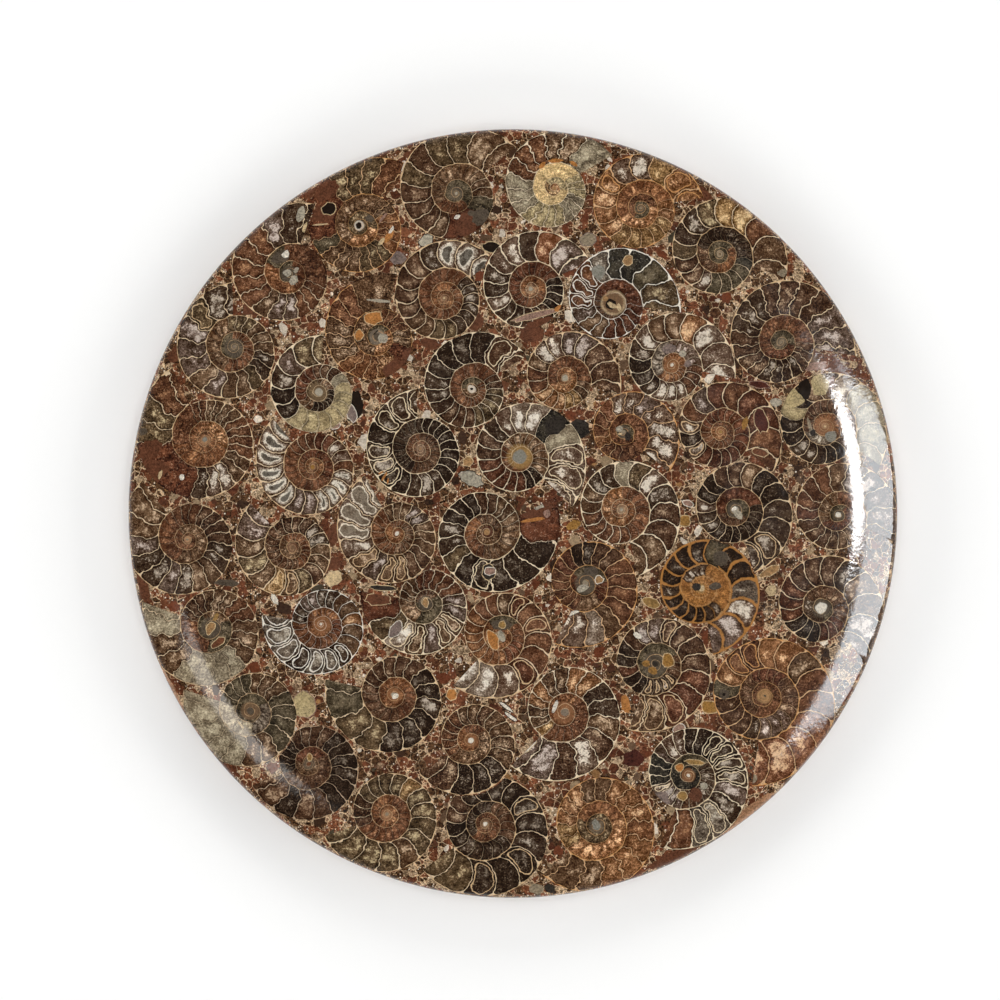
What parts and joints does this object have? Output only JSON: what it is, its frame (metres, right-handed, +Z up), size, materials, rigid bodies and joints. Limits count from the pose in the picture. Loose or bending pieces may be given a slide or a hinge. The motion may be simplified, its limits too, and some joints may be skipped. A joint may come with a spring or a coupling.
{
  "type": "ammonite fossil slice",
  "caption": "Round polished stone plate with sliced ammonite fossils inlaid in red breccia, gently domed at the rim, lying face up on its flat back.",
  "frame": {"origin": "middle of the flat back, which the plate lies on", "axes": "+Z up out of the polished face, +Y to the top of the face and +X to its right, seen from above"},
  "size_m": [0.25, 0.25, 0.015],
  "materials": {
    "fossil_chocolate": "polished",
    "fossil_olive": "polished",
    "fossil_maroon": "polished",
    "fossil_amber": "polished",
    "fossil_black": "polished",
    "fossil_umber": "polished",
    "fossil_buff": "polished",
    "breccia": "polished"
  },
  "bodies": {
    "root": {"ammonite_01": "fossil_olive", "ammonite_02": "fossil_chocolate", "ammonite_03": "fossil_amber", "ammonite_04": "fossil_black", "ammonite_05": "fossil_olive", "ammonite_06": "fossil_maroon", "ammonite_07": "fossil_chocolate", "ammonite_08": "fossil_chocolate", "ammonite_09": "fossil_black", "ammonite_10": "fossil_olive", "ammonite_11": "fossil_olive", "ammonite_12": "fossil_amber", "ammonite_13": "fossil_chocolate", "ammonite_14": "fossil_maroon", "ammonite_15": "fossil_black", "ammonite_16": "fossil_amber", "ammonite_17": "fossil_buff", "ammonite_18": "fossil_maroon", "ammonite_19": "fossil_maroon", "ammonite_20": "fossil_maroon", "ammonite_21": "fossil_maroon", "ammonite_22": "fossil_chocolate", "ammonite_23": "fossil_buff", "ammonite_24": "fossil_chocolate", "ammonite_25": "fossil_black", "ammonite_26": "fossil_chocolate", "ammonite_27": "fossil_black", "ammonite_28": "fossil_chocolate", "ammonite_29": "fossil_black", "ammonite_30": "fossil_chocolate", "ammonite_31": "fossil_maroon", "ammonite_32": "fossil_black", "ammonite_33": "fossil_maroon", "ammonite_34": "fossil_chocolate", "ammonite_35": "fossil_black", "ammonite_36": "fossil_umber", "ammonite_37": "fossil_amber", "ammonite_38": "fossil_maroon", "ammonite_39": "fossil_amber", "ammonite_40": "fossil_umber", "ammonite_41": "fossil_chocolate", "ammonite_42": "fossil_amber", "ammonite_43": "fossil_umber", "ammonite_44": "fossil_olive", "ammonite_45": "fossil_black", "ammonite_46": "fossil_olive", "ammonite_47": "fossil_amber", "ammonite_48": "fossil_umber", "breccia_plate": "breccia"}
  },
  "joints": []
}
